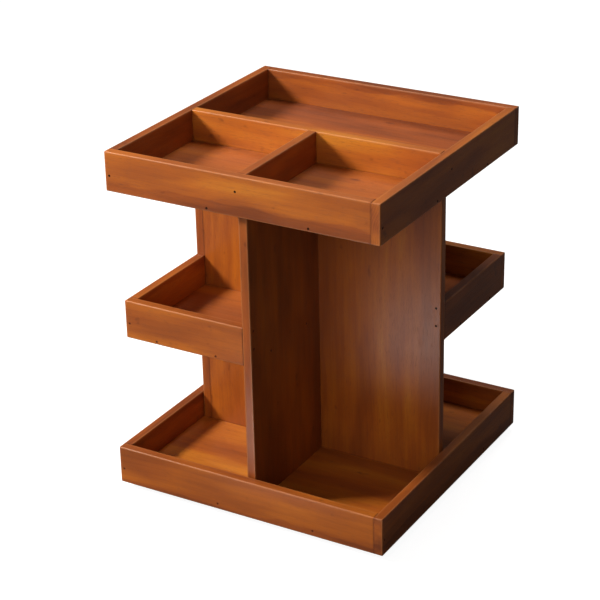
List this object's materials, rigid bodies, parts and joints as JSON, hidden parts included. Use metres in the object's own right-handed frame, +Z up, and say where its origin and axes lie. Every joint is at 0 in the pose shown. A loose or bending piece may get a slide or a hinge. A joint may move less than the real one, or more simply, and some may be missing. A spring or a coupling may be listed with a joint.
{
  "type": "lazy susan organizer",
  "caption": "Square stained wooden desktop organizer with a divided top tray, offset middle trays, tall bays and a base tray, turning on a hidden ball-bearing swivel.",
  "frame": {"origin": "on the turning axis, at the surface that the rubber feet stand on", "axes": "+Z up along the turning axis, -Y towards the front, +X to the right"},
  "size_m": [0.3, 0.3, 0.364],
  "materials": {
    "stained_wood": "satin reddish-orange stain with visible grain",
    "tray_floor_wood": "satin reddish-orange stain with visible grain",
    "panel_wood": "satin reddish-orange stain with vertical grain",
    "swivel_steel": "bright zinc plated sheet",
    "ball_steel": "polished",
    "brad_steel": "dull dark steel",
    "screw_steel": "bright zinc plated",
    "cage_plastic": "natural nylon",
    "foot_rubber": "matte black"
  },
  "bodies": {
    "stand": {"swivel_lower_plate": "swivel_steel", "rubber_foot_1": "foot_rubber", "rubber_foot_2": "foot_rubber", "rubber_foot_3": "foot_rubber", "rubber_foot_4": "foot_rubber"},
    "cage": {"ball_cage": "cage_plastic", "bearing_balls": "ball_steel"},
    "organizer": {"swivel_upper_plate": "swivel_steel", "swivel_screws": "screw_steel", "base_floor": "tray_floor_wood", "base_front_wall": "stained_wood", "base_right_wall": "stained_wood", "base_back_wall": "stained_wood", "base_left_wall": "stained_wood", "base_tray_brads": "brad_steel", "long_panel": "panel_wood", "front_panel": "panel_wood", "back_panel": "panel_wood", "side_panel": "panel_wood", "core_brads": "brad_steel", "front_shelf_floor": "tray_floor_wood", "front_shelf_front_wall": "stained_wood", "front_shelf_left_wall": "stained_wood", "front_shelf_brads": "brad_steel", "back_shelf_floor": "tray_floor_wood", "back_shelf_back_wall": "stained_wood", "back_shelf_right_wall": "stained_wood", "back_shelf_brads": "brad_steel", "top_floor": "tray_floor_wood", "top_front_wall": "stained_wood", "top_right_wall": "stained_wood", "top_back_wall": "stained_wood", "top_left_wall": "stained_wood", "top_long_divider": "stained_wood", "top_short_divider": "stained_wood", "top_tray_brads": "brad_steel"}
  },
  "joints": [
    {"name": "turntable_spin", "type": "hinge", "parent": "stand", "child": "organizer", "pos_m": [0, 0, 0.0065], "axis": [0, 0, 1], "continuous": true},
    {"name": "cage_spin", "type": "hinge", "parent": "stand", "child": "cage", "pos_m": [0, 0, 0.0065], "axis": [0, 0, 1], "continuous": true}
  ],
  "couplings": [
    {"joint": "cage_spin", "follows": "turntable_spin", "ratio": 0.5}
  ]
}
